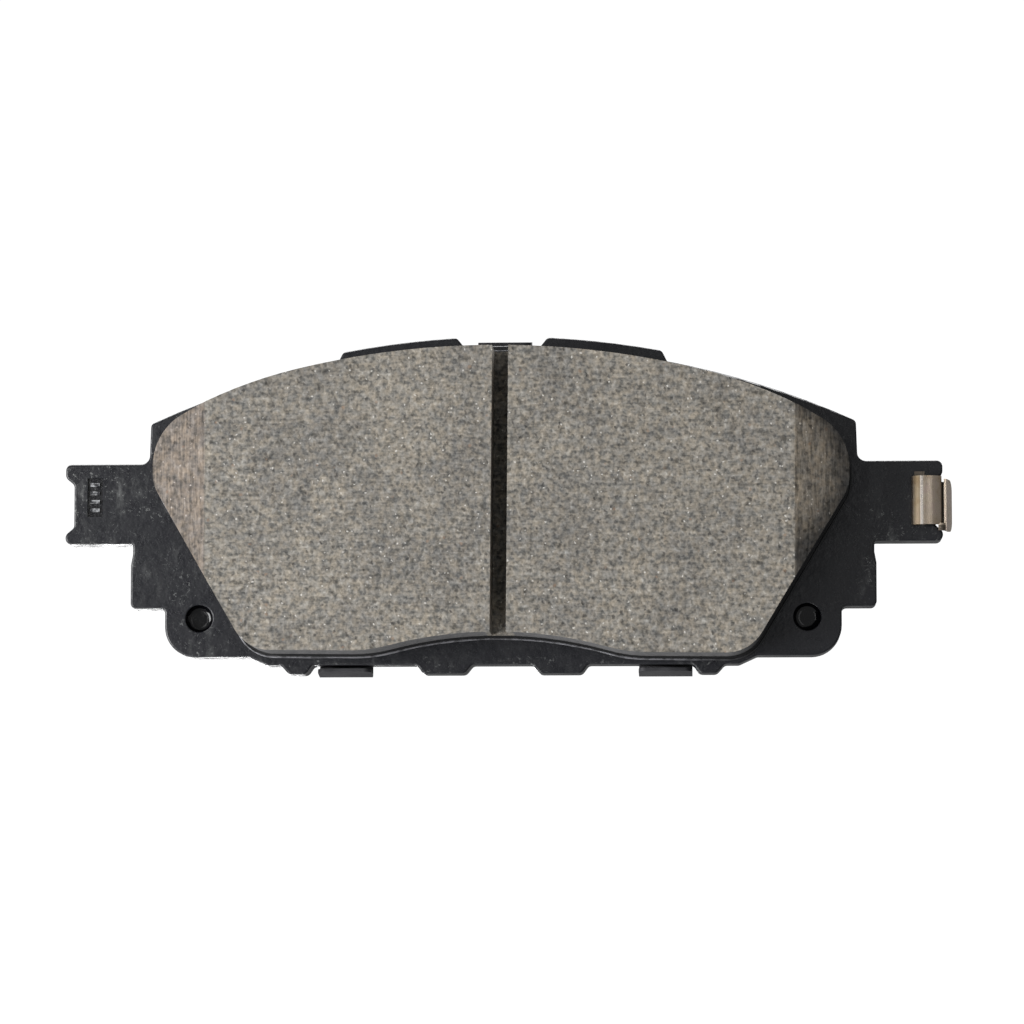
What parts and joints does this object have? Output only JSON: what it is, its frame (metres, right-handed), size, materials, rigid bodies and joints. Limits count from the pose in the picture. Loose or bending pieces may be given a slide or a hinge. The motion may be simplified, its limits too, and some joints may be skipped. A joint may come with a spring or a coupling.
{
  "type": "disc brake pad",
  "caption": "Disc brake pad: powder-coated steel backing plate with guide ears, bonded grooved friction block, clip-on shims behind and a spring clip on one ear.",
  "frame": {"origin": "the outer shim's rear face, where the caliper piston presses, at mid length and at the ears' mid height", "axes": "+X along the pad from ear to ear towards the ear with the clip, +Y from the disc towards the piston, +Z radially outward from the wheel's axis"},
  "size_m": [0.1327, 0.0174, 0.0507],
  "materials": {
    "plate_coat": "satin",
    "adhesive": "satin",
    "underlayer": "matte",
    "friction": "matte",
    "shim_rubber": "matte",
    "shim_steel": "satin",
    "outer_shim": "satin",
    "spring_steel": "satin"
  },
  "bodies": {
    "pad": {"backing_plate": "plate_coat", "adhesive_film": "adhesive", "underlayer": "underlayer", "friction_block": "friction"},
    "inner_shim": {"inner_shim_front_rubber": "shim_rubber", "inner_shim_core": "shim_steel", "inner_shim_rear_rubber": "shim_rubber"},
    "outer_shim": {"outer_shim": "outer_shim"},
    "ear_clip": {"ear_clip": "spring_steel"}
  },
  "joints": [
    {"name": "shim_lift", "type": "slide", "parent": "pad", "child": "inner_shim", "axis": [0, 1, 0], "range_m": [0, 0.008]},
    {"name": "outer_shim_lift", "type": "slide", "parent": "inner_shim", "child": "outer_shim", "axis": [0, 1, 0], "range_m": [0, 0.012]},
    {"name": "clip_pull", "type": "slide", "parent": "pad", "child": "ear_clip", "axis": [1, 0, 0], "range_m": [0, 0.008]}
  ]
}
